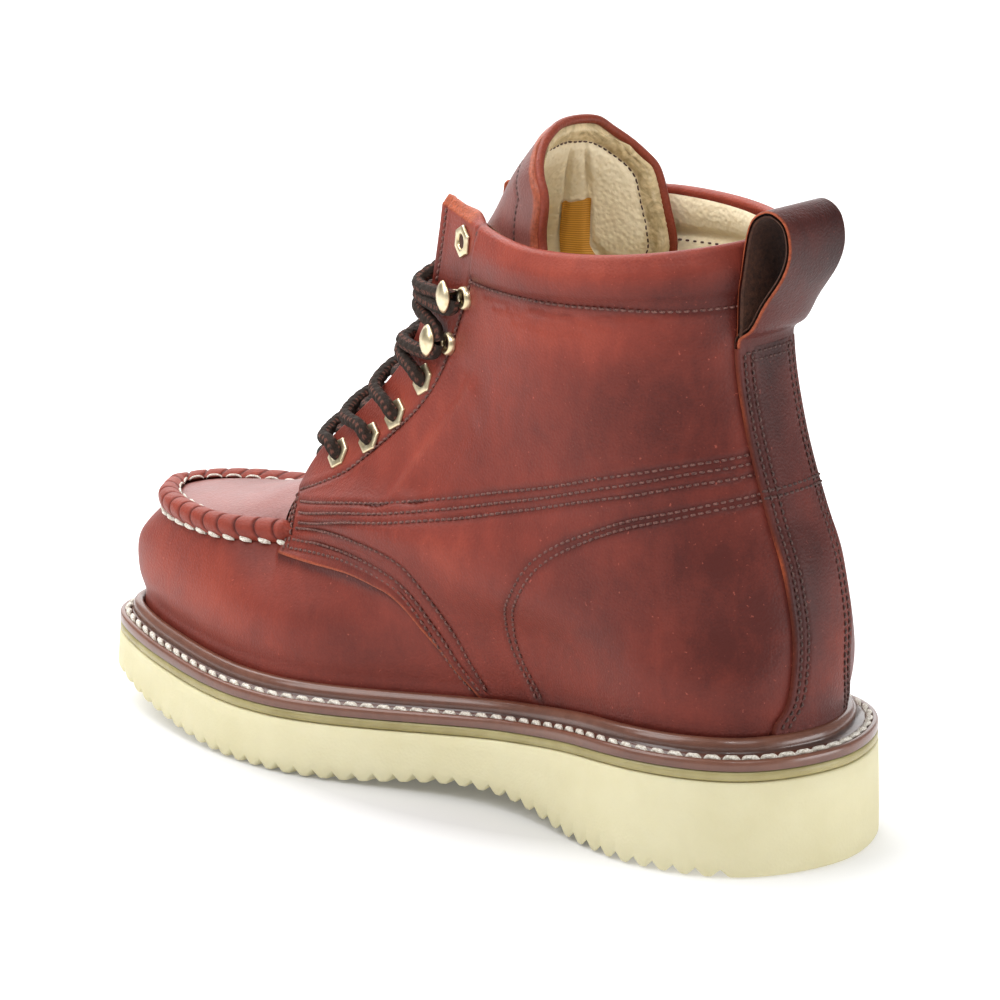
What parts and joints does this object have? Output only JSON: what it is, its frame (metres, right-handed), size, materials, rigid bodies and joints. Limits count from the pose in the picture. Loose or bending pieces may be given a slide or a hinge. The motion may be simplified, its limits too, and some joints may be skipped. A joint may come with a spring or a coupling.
{
  "type": "moc toe work boot",
  "caption": "Ankle-high lace-up work boot with a moc toe, storm welt, wedge foam outsole, padded cuff and a leather pull loop at the heel.",
  "frame": {"origin": "on the floor under the middle of the sole's length and width", "axes": "toe toward -Y, heel toward +Y, up +Z, the foot's inner side toward +X"},
  "size_m": [0.1124, 0.302, 0.2208],
  "materials": {
    "oxblood_leather": "oiled pull-up leather, satin",
    "lining_leather": "soft pebbled lining, matte",
    "cream_foam": "fine-pored foam, matte",
    "olive_rubber": "smooth, slightly translucent",
    "brown_welt": "burnished, satin",
    "brass": "polished",
    "lace_cord": "braided round cord"
  },
  "bodies": {
    "root": {"outsole": "cream_foam", "midsole": "olive_rubber", "insole": "lining_leather", "welt": "brown_welt", "upper": "oxblood_leather", "backstay": "oxblood_leather", "pull_loop": "oxblood_leather", "tongue": "oxblood_leather", "eyelet_inner_1": "brass", "eyelet_inner_2": "brass", "eyelet_inner_3": "brass", "eyelet_inner_4": "brass", "eyelet_inner_5": "brass", "hook_inner_1": "brass", "hook_inner_2": "brass", "lace_end_inner": "lace_cord", "eyelet_outer_1": "brass", "eyelet_outer_2": "brass", "eyelet_outer_3": "brass", "eyelet_outer_4": "brass", "eyelet_outer_5": "brass", "hook_outer_1": "brass", "hook_outer_2": "brass", "lace_end_outer": "lace_cord", "lace_crossing_1": "lace_cord", "lace_crossing_2": "lace_cord", "lace_crossing_3": "lace_cord", "lace_crossing_4": "lace_cord", "lace_crossing_5": "lace_cord"}
  },
  "joints": []
}
